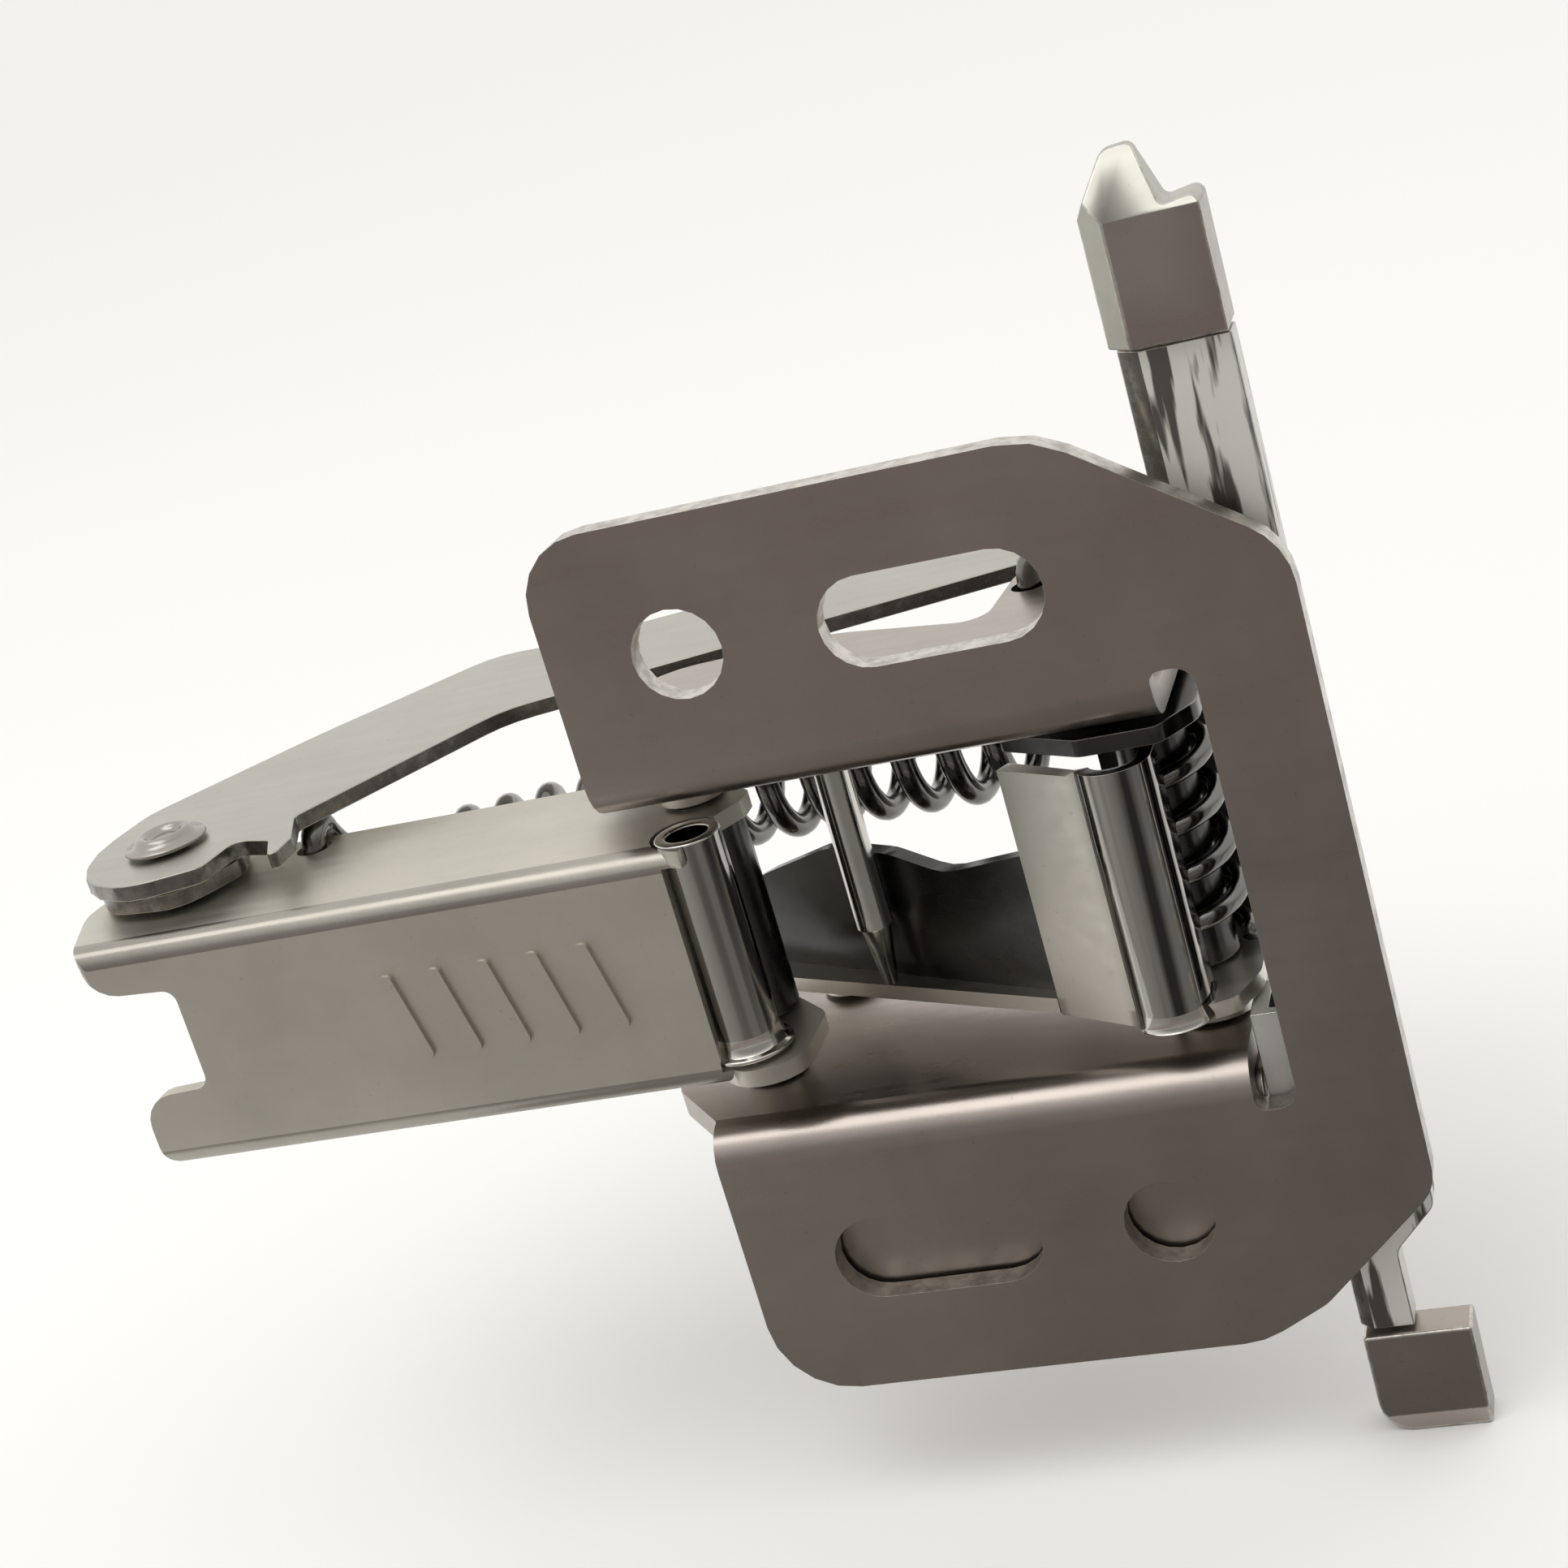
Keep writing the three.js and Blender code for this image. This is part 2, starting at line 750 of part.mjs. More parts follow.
// Coils between a hook through the lever's flange and one up through the plate's wall.
function tensionSpring() {
  const { radius, turns, bow } = TENSION;
  const perTurn = STEPS_PER_TURN;
  const [eyeX, eyeY] = LEVER_EYE;
  const points = [
    [eyeX, eyeY, 5.6],
    [eyeX, eyeY, 7.5],
    [eyeX, eyeY + 0.6, 8.4],
    [eyeX, eyeY + 1.9, 8.4],
    [eyeX + 0.1, eyeY + 2.7, 7],
    [eyeX + 1.6, eyeY + 4.6, 3.2],
  ].map((point) => new THREE.Vector3(...point));
  const start = new THREE.Vector3(...TENSION_ENDS.left);
  const end = new THREE.Vector3(...TENSION_ENDS.right);
  for (let k = 0; k <= turns * perTurn; k++) {
    const angle = (2 * Math.PI * k) / perTurn - Math.PI / 2;
    const share = k / (turns * perTurn);
    const centre = start.clone().lerp(end, share);
    centre.z += bow * Math.sin(Math.PI * share);
    points.push(centre.add(new THREE.Vector3(0, radius * Math.cos(angle), radius * Math.sin(angle))));
  }
  const [tabX, tabY] = SPRING_EYE;
  const hook = [
    [tabX - 0.1, tabY - 1.2, 6.6],
    [tabX, tabY - 0.1, 8.6],
    [tabX, tabY, 10.6],
    [tabX + 0.3, tabY + 0.1, 12.4],
    [tabX + 1.3, tabY + 0.3, 12.8],
    [tabX + 2.2, tabY + 0.4, 12.3],
  ].map((point) => new THREE.Vector3(...point));
  const path = new THREE.CatmullRomCurve3([...points, ...hook]);
  return wire(path, TENSION.wire, points.length + 16);
}

// ---- Slide bolt and its guides ----
function boltBar() {
  const { left, right, front, back, top, bottom } = BOLT;
  const face = outline([
    [left, top],
    [right, top],
    [right, -21, 1],
    [36.2, -23.5, 1],
    [36.2, bottom],
    [left + 0.4, bottom],
    [left + 0.4, -22, 1],
    [left, -20.5, 1],
  ]);
  const section = outline([
    [left, front + 1],
    [left + 1.2, front],
    [right, front],
    [right, back],
    [left, back],
  ]);
  return common(upright(face, front, back), level(section, bottom - 1, top + 1));
}

function boltHead() {
  const { left, right, top } = BOLT;
  const foot = top + GAP;
  const shoulder = 35;
  const front = 1.9;
  const back = 5;
  const face = outline([
    [left - 0.3, foot],
    [right, foot],
    [right, shoulder + 0.3, 0.5],
    [36.8, shoulder, 0.4],
    [35.7, 38, 0.5],
    [34.2, 37.9, 0.8],
    [left - 0.3, shoulder],
  ]);
  const plan = outline([
    [left - 0.3, front + 1.3],
    [left + 1, front],
    [right, front],
    [right, back],
    [left - 0.3, back],
  ]);
  const lean = outline([
    [front, foot - 1],
    [front, shoulder - 0.2],
    [back - 0.4, 38.3],
    [back, 38.3],
    [back, foot - 1],
  ]);
  const block = common(upright(face, front, back), level(plan, foot - 1, 40));
  return common(block, lengthwise(lean, left - 2, right + 2));
}

function boltFoot() {
  const { bottom, front, back } = BOLT;
  const top = bottom - GAP;
  const face = outline([
    [33.3, top],
    [39.3, top],
    [39.3, top - 6.2],
    [33.3, top - 6.2, 1.8],
  ]);
  return upright(face, front - 0.5, back);
}

// A strap over the back of the bolt, with one leg beside it and a foot turned in before it.
function boltGuide(z0, z1) {
  const { left, right, front, back } = BOLT;
  const strap = outline([
    [left - GAP - THIN, SHEET + GAP],
    [left + 0.8, SHEET + GAP],
    [left + 0.8, front - GAP],
    [left - GAP, front - GAP],
    [left - GAP, back + GAP, 0.3],
    [right - 1.2, back + GAP],
    [right - 1.2, back + GAP + THIN],
    [left - GAP - THIN, back + GAP + THIN, 0.8],
  ]);
  return level(strap, z0, z1);
}

// ---- Assembly ----
const frame = group(
  "frame",
  named("front_plate", frontPlate(), NICKEL_PLATE),
  named("backing_plate", backingPlate(), NICKEL_PLATE),
  named("backing_rivet_left", backingRivet(BACKING_RIVETS[0]), NICKEL_LIGHT),
  named("backing_rivet_right", backingRivet(BACKING_RIVETS[1]), NICKEL_LIGHT),
  named("lever_pin", pin(LEVER_AXIS), BRIGHT),
  named("lever_spacer_lower", spacer(LEVER_AXIS, 1.9, -WALL.inner + GAP, LEVER.bottom - GAP), NICKEL_LIGHT),
  named("lever_spacer_upper", spacer(LEVER_AXIS, 1.9, LEVER.top + GAP, WALL.inner - GAP), NICKEL_LIGHT),
  named("lever_sleeve", leverSleeve(), DARK_STEEL),
  named("cam_pin", pin(CAM_AXIS), BRIGHT),
  named("cam_spacer", spacer(CAM_AXIS, 2.6, -WALL.inner + GAP, CAM.bottom - GAP), NICKEL_LIGHT),
  named("bolt_guide_upper", boltGuide(12.8, 17.8), NICKEL_LIGHT),
  named("bolt_guide_lower", boltGuide(-17.5, -7.8), NICKEL_LIGHT),
);

const lever = group(
  "lever",
  named("lever_channel", leverChannel(), NICKEL_LEVER),
  named("lever_knuckle", leverKnuckle(), BRIGHT),
  named("link_rivet_front", domeRivet(LINK_FRONT, 6.4, 10.4, 11.2, 2.5), NICKEL_LIGHT),
  named("tension_spring", tensionSpring(), SPRING_STEEL),
);

const link = group(
  "link",
  named("link_arm", linkArm(), NICKEL_LIGHT),
  named("link_leaf", linkLeaf(), NICKEL_LIGHT),
);

const cam = group(
  "cam",
  named("cam_base", camBase(), DARK_STEEL),
  named("cam_stud", camStud(), BRIGHT),
  named("cam_nose", camStrip(), NICKEL_LIGHT),
  named("cam_sleeve", camSleeve(), BRIGHT),
  named("cam_crank", camCrank(), DARK_STEEL),
  named("cam_spring", camSpring(), SPRING_STEEL),
  named("link_rivet_rear", domeRivet(LINK_REAR, 7.9, 10.4, 11.2, 2.6), NICKEL_LIGHT),
);

const bolt = group(
  "bolt",
  named("bolt_head", boltHead(), NICKEL_PLATE),
  named("bolt_bar", boltBar(), BRIGHT),
  named("bolt_foot", boltFoot(), NICKEL_PLATE),
);

const part = group("lever_latch", frame, lever, link, cam, bolt);
part.position.x = -SPINE.middle;

export default part;
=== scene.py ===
"""Looks for a sprung lever latch on a slotted mounting plate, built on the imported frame.

The frame is in metres. X = 0 is the middle of the plate's spine, Y = 0 is the plate's
front face, which looks along -Y, and Z = 0 lies midway between the plate's two walls.
"""
import json
import math

import bmesh
import bpy
from mathutils import Matrix, Vector

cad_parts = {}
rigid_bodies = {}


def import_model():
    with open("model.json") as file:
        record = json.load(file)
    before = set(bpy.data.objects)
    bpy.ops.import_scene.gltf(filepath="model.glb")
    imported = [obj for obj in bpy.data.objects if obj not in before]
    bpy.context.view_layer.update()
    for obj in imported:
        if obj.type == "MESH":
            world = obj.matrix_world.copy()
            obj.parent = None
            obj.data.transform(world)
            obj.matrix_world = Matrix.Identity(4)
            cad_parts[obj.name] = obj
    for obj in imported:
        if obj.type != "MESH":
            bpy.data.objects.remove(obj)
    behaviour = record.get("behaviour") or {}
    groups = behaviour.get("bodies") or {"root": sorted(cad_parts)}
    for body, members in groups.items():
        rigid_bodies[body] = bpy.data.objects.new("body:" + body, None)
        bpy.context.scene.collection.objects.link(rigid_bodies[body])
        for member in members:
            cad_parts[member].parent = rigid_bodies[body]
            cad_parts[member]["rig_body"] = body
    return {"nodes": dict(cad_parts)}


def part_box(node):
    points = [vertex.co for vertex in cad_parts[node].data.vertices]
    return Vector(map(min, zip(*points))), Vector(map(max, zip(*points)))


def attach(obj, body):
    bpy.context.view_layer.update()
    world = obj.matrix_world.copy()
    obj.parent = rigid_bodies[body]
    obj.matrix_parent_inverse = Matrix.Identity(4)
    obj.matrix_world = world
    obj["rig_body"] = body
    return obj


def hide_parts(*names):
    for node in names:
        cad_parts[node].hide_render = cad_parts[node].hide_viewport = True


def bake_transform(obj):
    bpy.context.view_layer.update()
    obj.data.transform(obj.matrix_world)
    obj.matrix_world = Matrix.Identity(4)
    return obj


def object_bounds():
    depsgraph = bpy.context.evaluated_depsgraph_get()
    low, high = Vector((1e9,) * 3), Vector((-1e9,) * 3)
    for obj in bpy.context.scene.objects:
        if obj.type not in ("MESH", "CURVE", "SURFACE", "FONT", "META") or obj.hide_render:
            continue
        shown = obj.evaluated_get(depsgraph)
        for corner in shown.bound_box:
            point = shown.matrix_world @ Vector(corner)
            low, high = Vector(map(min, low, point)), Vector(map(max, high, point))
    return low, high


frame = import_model()
cad_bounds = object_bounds()
nodes = frame["nodes"]

MM = 0.001


# ---- Node graph helpers ----
class Graph:
    """A material's node tree, with short calls that add nodes and link them."""

    def __init__(self, name):
        self.material = bpy.data.materials.new(name)
        self.material.use_nodes = True
        self.tree = self.material.node_tree
        self.shader = self.tree.nodes["Principled BSDF"]
        self.place = self.add("ShaderNodeTexCoord").outputs["Object"]

    def add(self, kind, inputs=None, **settings):
        node = self.tree.nodes.new(kind)
        for key, value in settings.items():
            setattr(node, key, value)
        for key, value in (inputs or {}).items():
            self.feed(node.inputs[key], value)
        return node

    def feed(self, socket, value):
        if isinstance(value, bpy.types.NodeSocket):
            self.tree.links.new(value, socket)
        else:
            socket.default_value = value

    def stretched(self, scale):
        """Object coordinates, scaled differently along each axis to draw grain."""
        return self.add("ShaderNodeMapping", {"Vector": self.place, "Scale": scale}).outputs["Vector"]

    def noise(self, scale, detail=3.0, roughness=0.55, at=None):
        """Noise with its scale in features to the metre, unless it is given its own place."""
        inputs = {"Vector": at or self.place, "Scale": scale, "Detail": detail, "Roughness": roughness}
        return self.add("ShaderNodeTexNoise", inputs).outputs["Fac"]

    def ramp(self, value, low, high, start=0.0, end=1.0):
        """The value's share of the way from low to high, as a number from start to end."""
        inputs = {"Value": value, "From Min": low, "From Max": high, "To Min": start, "To Max": end}
        return self.add("ShaderNodeMapRange", inputs).outputs["Result"]

    def mix(self, factor, first, second):
        """The first colour at a factor of 0, the second at 1."""
        node = self.add("ShaderNodeMix", data_type="RGBA")
        colour_sockets = [socket for socket in node.inputs if socket.type == "RGBA"]
        self.feed(node.inputs[0], factor)
        self.feed(colour_sockets[0], first)
        self.feed(colour_sockets[1], second)
        return next(socket for socket in node.outputs if socket.type == "RGBA")

    def math(self, operation, first, second):
        return self.add("ShaderNodeMath", {0: first, 1: second}, operation=operation).outputs["Value"]

    def bump(self, height, distance, strength, normal=None):
        node = self.add("ShaderNodeBump", {"Height": height, "Distance": distance, "Strength": strength})
        if normal is not None:
            self.feed(node.inputs["Normal"], normal)
        return node.outputs["Normal"]


def rgb(red, green, blue):
    return (red, green, blue, 1.0)


# ---- Materials: light and dark are the two tones that make up a base colour ----
def plated(name, light, dark, gloss, pitting=0.4, metallic=1.0):
    """Nickel plate over rolled sheet: cloudy tone, faint rolling grain, pits and handling marks."""
    g = Graph(name)
    clouds = g.noise(70, 4)
    tarnish = g.noise(260, 5, 0.65)
    rolling = g.noise(9, 1.5, 0.5, at=g.stretched((9, 130, 130)))
    pits = g.noise(2600, 2)
    tone = g.math("ADD", g.math("MULTIPLY", clouds, 0.65), g.math("MULTIPLY", tarnish, 0.35))
    base = g.mix(g.ramp(tone, 0.35, 0.65), rgb(*dark), rgb(*light))
    specks = g.ramp(pits, 0.66, 0.8, 0.0, 0.35)
    pit_tone = rgb(*[channel * 0.55 for channel in dark])
    g.feed(g.shader.inputs["Base Color"], g.mix(specks, base, pit_tone))
    cloudy = g.ramp(clouds, 0.3, 0.7, gloss - 0.04, gloss + 0.05)
    g.feed(g.shader.inputs["Roughness"], g.math("ADD", cloudy, g.ramp(rolling, 0.3, 0.7, -0.03, 0.03)))
    soft = g.bump(g.noise(420, 3), 0.03 * MM, 0.5 * pitting)
    lined = g.bump(rolling, 0.004 * MM, 0.2, soft)
    g.feed(g.shader.inputs["Normal"], g.bump(pits, 0.006 * MM, pitting, lined))
    g.shader.inputs["Metallic"].default_value = metallic
    return g.material


def polished(name, light, dark, gloss):
    """Turned or rolled metal with a bright plate, and fine lines round it."""
    g = Graph(name)
    clouds = g.noise(120, 3)
    lines = g.noise(10, 3, 0.6, at=g.stretched((15, 15, 200)))
    smudge = g.noise(500, 4, 0.6)
    g.feed(g.shader.inputs["Base Color"], g.mix(g.ramp(clouds, 0.35, 0.65), rgb(*dark), rgb(*light)))
    smudged = g.ramp(smudge, 0.4, 0.7, gloss - 0.03, gloss + 0.07)
    g.feed(g.shader.inputs["Roughness"], g.math("ADD", smudged, g.ramp(lines, 0.3, 0.7, -0.02, 0.02)))
    g.feed(g.shader.inputs["Normal"], g.bump(lines, 0.006 * MM, 0.4, g.bump(smudge, 0.01 * MM, 0.3)))
    g.shader.inputs["Metallic"].default_value = 1.0
    return g.material


def worn_and_painted_edge(name, tone, gloss):
    """Sheared and rubbed edges where the plating is thin, whose tone is partly wear and partly painted
    light on lit edges and painted shade on shaded ones.
    """
    g = Graph(name)
    shear = g.noise(900, 4, 0.7)
    dark = [channel * 0.6 for channel in tone]
    g.feed(g.shader.inputs["Base Color"], g.mix(g.ramp(shear, 0.35, 0.6), rgb(*dark), rgb(*tone)))
    g.feed(g.shader.inputs["Roughness"], g.ramp(shear, 0.3, 0.7, gloss + 0.08, gloss - 0.05))
    g.feed(g.shader.inputs["Normal"], g.bump(shear, 0.02 * MM, 0.5))
    g.shader.inputs["Metallic"].default_value = 1.0
    return g.material


def chrome_with_painted_bands(name, light, dark, gloss):
    """Bright strip rolled into a tube, with pale and dark bands along its height that are painted
    reflections, and fine drawing lines in its bump.
    """
    g = Graph(name)
    painted_reflection_bands = g.noise(9, 2, 0.5, at=g.stretched((95, 95, 1.5)))
    lines = g.noise(10, 3, 0.6, at=g.stretched((260, 260, 6)))
    smudge = g.noise(420, 4, 0.6)
    g.feed(g.shader.inputs["Base Color"], g.mix(g.ramp(painted_reflection_bands, 0.42, 0.6), rgb(*dark), rgb(*light)))
    smudged = g.ramp(smudge, 0.4, 0.7, gloss - 0.02, gloss + 0.08)
    g.feed(g.shader.inputs["Roughness"], smudged)
    g.feed(g.shader.inputs["Normal"], g.bump(lines, 0.012 * MM, 0.5, g.bump(smudge, 0.01 * MM, 0.3)))
    g.shader.inputs["Metallic"].default_value = 1.0
    return g.material


def streaked(name, light, dark):
    """Hot-dipped zinc on the bolt: a pale, half-dull skin with dark streaks along its length that are
    painted reflections.
    """
    g = Graph(name)
    painted_reflection_runs = g.noise(11, 3, 0.5, at=g.stretched((80, 80, 8)))
    grain = g.noise(700, 4, 0.6)
    painted_streak = g.ramp(painted_reflection_runs, 0.56, 0.61)
    g.feed(g.shader.inputs["Base Color"], g.mix(painted_streak, rgb(*light), rgb(*dark)))
    g.feed(g.shader.inputs["Metallic"], g.ramp(painted_streak, 0, 1, 0.25, 0.9))
    g.feed(g.shader.inputs["Roughness"], g.ramp(grain, 0.3, 0.7, 0.34, 0.46))
    g.feed(g.shader.inputs["Normal"], g.bump(grain, 0.02 * MM, 0.5, g.bump(painted_reflection_runs, 0.15 * MM, 0.5)))
    return g.material


PLATE = plated("nickel_plate", (0.41, 0.367, 0.332), (0.35, 0.312, 0.282), 0.3)
LEVER = plated("nickel_lever", (0.62, 0.59, 0.525), (0.54, 0.515, 0.455), 0.44)
# Pale nickel for the spacers and rivets, and painted light on the cam's cheek and foot.
PALE_AND_PAINTED_LIGHT = plated("nickel_light", (0.76, 0.73, 0.665), (0.68, 0.65, 0.59), 0.36, pitting=0.2)
LINK = plated("nickel_link", (0.47, 0.46, 0.41), (0.40, 0.39, 0.35), 0.36, pitting=0.2)
MATT = plated("matt_zinc", (0.46, 0.455, 0.43), (0.38, 0.375, 0.355), 0.5, metallic=0.35)
# Near-black steel as painted shade, on the cam's web, crank and sleeves.
PAINTED_SHADE_STEEL = plated("dark_steel", (0.10, 0.10, 0.097), (0.06, 0.06, 0.06), 0.24)
# Bright turned steel for the pins and the stud; on the knuckle's foot and rim and on the cam's foot it
# is a painted highlight.
BRIGHT_STEEL_AND_PAINTED_HIGHLIGHT = polished("bright_steel", (0.66, 0.64, 0.60), (0.54, 0.52, 0.49), 0.14)
# Darker nickel, painted shade on the lever's bends.
BEND_PAINTED_SHADE = plated("nickel_bend_painted_shade", (0.40, 0.38, 0.335), (0.32, 0.302, 0.268), 0.3)
RIVET = polished("rivet_steel", (0.40, 0.38, 0.35), (0.28, 0.265, 0.245), 0.26)
# Chrome whose dark tone and pale bands are painted reflections.
CHROME_PAINTED_BANDS = chrome_with_painted_bands("chrome_painted_reflection_bands", (0.48, 0.46, 0.435), (0.08, 0.077, 0.074), 0.09)
# Dark spring steel, its tone lowered further as painted shade for coils that sit in shadow.
WIRE = polished("spring_steel", (0.22, 0.217, 0.205), (0.14, 0.137, 0.13), 0.16)
# Pale zinc with dark streaks that are painted reflections.
ZINC = streaked("zinc", (0.66, 0.655, 0.61), (0.16, 0.15, 0.14))
# Pale worn edges, partly wear and partly painted light where they face upwards.
EDGE_WEAR_AND_PAINTED_LIGHT = worn_and_painted_edge("edge_nickel_wear_and_painted_light", (0.62, 0.59, 0.54), 0.3)
# Dark edges, painted shade on the link's thickness and the bolt's left side.
EDGE_PAINTED_SHADE = worn_and_painted_edge("edge_painted_shade", (0.26, 0.245, 0.225), 0.28)


# ---- Pieces ----
EDGE_FACES, ZONE_FACES, FOOT_FACES = 1, 2, 3  # a piece's material slots after its main one


def new_piece(name, mesh, *materials):
    for material in materials:
        mesh.materials.append(material)
    piece = bpy.data.objects.new(name, mesh)
    bpy.context.scene.collection.objects.link(piece)
    return piece


def stand_for(piece, node):
    """Puts the piece in the CAD node's place and on its body, and hides the node."""
    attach(piece, nodes[node]["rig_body"])
    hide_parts(node)
    return piece


def weighted_normals(piece):
    weighted = piece.modifiers.new("normals", "WEIGHTED_NORMAL")
    weighted.weight = 80


def round_edges(piece, width, angle=40):
    """Bevels the edges sharper than the angle, in degrees, in the piece's edge material."""
    bevel = piece.modifiers.new("edges", "BEVEL")
    bevel.width = width
    bevel.segments = 2
    bevel.limit_method = "ANGLE"
    bevel.angle_limit = math.radians(angle)
    bevel.material = EDGE_FACES
    bevel.miter_outer = "MITER_ARC"
    weighted_normals(piece)


def refined(node, material, edge, bevel=0.12 * MM, zone=None, zone_material=None):
    """The node's shape with merged flats, rounded edges and smooth arcs, as a new piece.

    A zone tells from a face's middle, in millimetres, and its normal whether the face
    takes the zone's own material.
    """
    form = bmesh.new()
    form.from_mesh(nodes[node].data)
    same_point, flat_angle = 0.002 * MM, math.radians(0.6)
    bmesh.ops.remove_doubles(form, verts=form.verts, dist=same_point)
    bmesh.ops.dissolve_limit(form, angle_limit=flat_angle, verts=form.verts, edges=form.edges)
    bmesh.ops.recalc_face_normals(form, faces=form.faces)
    for face in form.faces:
        face.smooth = True
        if zone and zone(face.calc_center_median() / MM, face.normal):
            face.material_index = ZONE_FACES
    mesh = bpy.data.meshes.new(node + "_mesh")
    form.to_mesh(mesh)
    form.free()
    materials = [material, edge, zone_material] if zone else [material, edge]
    piece = new_piece(node + "_piece", mesh, *materials)
    round_edges(piece, bevel)
    return stand_for(piece, node)


def solid_from_rows(name, rows, ring):
    """A smooth mesh skinned over rows of points that all have the same count.

    In a ring the last row joins the first; otherwise the first and last rows are capped.
    """
    mesh = bpy.data.meshes.new(name + "_mesh")
    count = len(rows[0])
    vertices = [tuple(point) for row in rows for point in row]
    faces = []
    for r in range(len(rows) if ring else len(rows) - 1):
        here = r * count
        there = (r + 1) % len(rows) * count
        for k in range(count):
            after = (k + 1) % count
            faces.append((here + k, here + after, there + after, there + k))
    if not ring:
        faces.append(tuple(reversed(range(count))))
        faces.append(tuple(range((len(rows) - 1) * count, len(rows) * count)))
    mesh.from_pydata(vertices, [], faces)
    form = bmesh.new()
    form.from_mesh(mesh)
    same_point = 0.0005 * MM
    bmesh.ops.remove_doubles(form, verts=form.verts, dist=same_point)
    bmesh.ops.recalc_face_normals(form, faces=form.faces)
    for face in form.faces:
        face.smooth = True
    form.to_mesh(mesh)
    form.free()
    return mesh


def centre_line(node):
    """The node's middle in X and Y, half its width, and its lowest and highest Z."""
    low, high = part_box(node)
    middle = (low + high) / 2
    return middle.x, middle.y, (high.x - low.x) / 2, low.z, high.z


def turned(node, profile, *materials):
    """A solid of revolution for a node: profile is closed, as (radius, height) in metres."""
    x, y, _, _, _ = centre_line(node)
    segments = 64
    rows = []
    for k in range(segments):
        angle = 2 * math.pi * k / segments
        rows.append([(x + r * math.cos(angle), y + r * math.sin(angle), z) for r, z in profile])
    piece = new_piece(node + "_piece", solid_from_rows(node, rows, ring=True), *materials)
    weighted_normals(piece)
    return stand_for(piece, node)


def arc(centre_r, centre_z, radius, start, end, steps=6):
    """Points of an arc in the (radius, height) plane; angles in degrees from outwards."""
    points = []
    for k in range(steps + 1):
        angle = math.radians(start + (end - start) * k / steps)
        points.append((centre_r + radius * math.cos(angle), centre_z + radius * math.sin(angle)))
    return points


def knuckle():
    """The open tube at the lever's end: a filleted foot with a rounded rim, and a rolled top."""
    node = "lever_knuckle"
    _, _, foot, low, high = centre_line(node)
    radius, bore, lip = 1.9 * MM, 1.2 * MM, 0.15 * MM
    sole, fillet, painted_highlight_foot = 0.3 * MM, 1.5 * MM, 1.3 * MM
    fillet_spread = 0.62 * (foot - radius)
    profile = [(bore, low)]
    profile += arc(foot - lip, low + lip, lip, -90, 60)
    for angle in (math.radians(step) for step in range(10, 91, 10)):
        out = radius + fillet_spread * (1 - math.sin(angle))
        profile.append((out, low + sole + fillet * (1 - math.cos(angle))))
    profile += arc(radius - lip, high - lip, lip, 0, 90)
    profile += arc(bore + lip, high - lip, lip, 90, 180)
    piece = turned(node, profile, CHROME_PAINTED_BANDS, BRIGHT_STEEL_AND_PAINTED_HIGHLIGHT)
    # The foot and the top rim take bright steel as a painted highlight.
    for face in piece.data.polygons:
        if face.center.z < low + painted_highlight_foot or face.center.z > high - lip:
            face.material_index = EDGE_FACES
    return piece


def riveted_pin(node):
    """A pin across both walls with a domed, riveted head at each end."""
    _, _, head, low, high = centre_line(node)
    shank, thick, dome, chamfer = 1.2 * MM, 0.9 * MM, 0.5 * MM, 0.05 * MM
    under = high - thick
    top = [(shank, under), (head - chamfer, under)]
    top += arc(head - dome, high - dome, dome, -10, 80)
    top.append((0, high))
    foot = [(r, low + high - z) for r, z in reversed(top)]
    return turned(node, foot + top, BRIGHT_STEEL_AND_PAINTED_HIGHLIGHT)


def rolled_rivet(node):
    """A link rivet: a broad head with a raised rolled ring round a dimple, and a small foot."""
    _, _, head, low, high = centre_line(node)
    shank, foot, foot_top, foot_round = 1.2 * MM, 2.0 * MM, low + 0.6 * MM, 0.3 * MM
    under, chamfer, roll = high - 0.8 * MM, 0.1 * MM, 0.4 * MM
    profile = [(0, low), (1.6 * MM, low)]
    profile += arc(foot - foot_round, low + foot_round, foot_round, -90, 0, 4)
    profile += [(foot, foot_top), (shank, foot_top), (shank, under), (head - chamfer, under)]
    profile += [(head, under + chamfer), (head - chamfer, under + 0.28 * MM)]
    profile.append((head * 0.78, under + 0.3 * MM))
    profile += arc(head * 0.56, high - roll, roll, 20, 160, 8)
    profile += [(head * 0.3, high - 0.38 * MM), (head * 0.15, high - 0.3 * MM), (0, high - 0.28 * MM)]
    return turned(node, profile, RIVET)


def stud():
    """The cam's stud: a necked foot below a shoulder, and a slightly rounded top."""
    node = "cam_stud"
    _, _, radius, low, high = centre_line(node)
    neck, shoulder, chamfer, lip = 0.4 * MM, 3.6 * MM, 0.15 * MM, 0.2 * MM
    profile = [(0, low), (neck, low), (radius - chamfer, low + shoulder)]
    profile.append((radius, low + shoulder + chamfer))
    profile += arc(radius - lip, high - lip, lip, 0, 90)
    profile.append((0, high))
    return turned(node, profile, BRIGHT_STEEL_AND_PAINTED_HIGHLIGHT)


# ---- The cam's bent strip ----
STRIP_SPREAD = 0.25 * MM  # how far the foot flares past the nose


